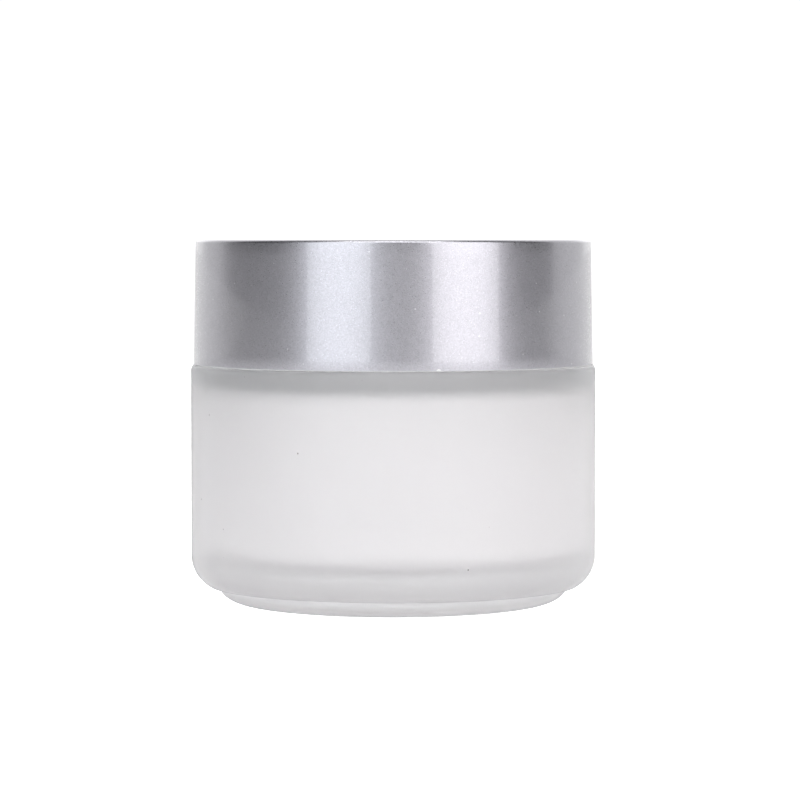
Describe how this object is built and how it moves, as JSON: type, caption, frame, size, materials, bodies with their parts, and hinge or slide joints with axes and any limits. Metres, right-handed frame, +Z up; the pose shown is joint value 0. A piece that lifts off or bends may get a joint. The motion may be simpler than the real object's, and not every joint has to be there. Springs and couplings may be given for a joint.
{
  "type": "cosmetic cream jar",
  "caption": "Round frosted glass cream jar on a stepped foot, with a silver screw cap, foam liner and lift-out sealing disc with a pull tab.",
  "frame": {"origin": "centre of the flat ring that the jar stands on", "axes": "+Z up along the axis of the jar, neck and cap; +Y from the pull tab's hinge towards its free end; +X to the right seen from the -Y side"},
  "size_m": [0.07, 0.07, 0.063],
  "materials": {
    "frosted_glass": "satin",
    "natural_polyethylene": "satin",
    "white_foam": "matte",
    "white_polypropylene": "satin",
    "silver_lacquer": "satin"
  },
  "bodies": {
    "jar": {"glass_jar": "frosted_glass"},
    "liner": {"foam_liner": "white_foam"},
    "cap": {"threaded_cap_insert": "white_polypropylene", "silver_cap_shell": "silver_lacquer"},
    "disc": {"sealing_disc": "natural_polyethylene"},
    "tab": {"disc_pull_tab": "natural_polyethylene"}
  },
  "joints": [
    {"name": "cap_rise", "type": "slide", "parent": "jar", "child": "liner", "axis": [0, 0, 1], "range_m": [0, 0.0294]},
    {"name": "cap_twist", "type": "hinge", "parent": "liner", "child": "cap", "pos_m": [0, 0, 0.05], "axis": [0, 0, 1], "range_deg": [0, 2520]},
    {"name": "disc_lift", "type": "slide", "parent": "jar", "child": "disc", "axis": [0, 0, 1], "range_m": [0, 0.006]},
    {"name": "tab_fold", "type": "hinge", "parent": "disc", "child": "tab", "pos_m": [0, -0.00625, 0.0567], "axis": [1, 0, 0], "range_deg": [0, 90]}
  ],
  "couplings": [
    {"joint": "cap_rise", "follows": "cap_twist", "m_per_rad": 0.00066845},
    {"joint": "disc_lift", "follows": "cap_twist", "m_per_rad": 0.00013641},
    {"joint": "tab_fold", "follows": "cap_twist", "ratio": 0.035714}
  ]
}
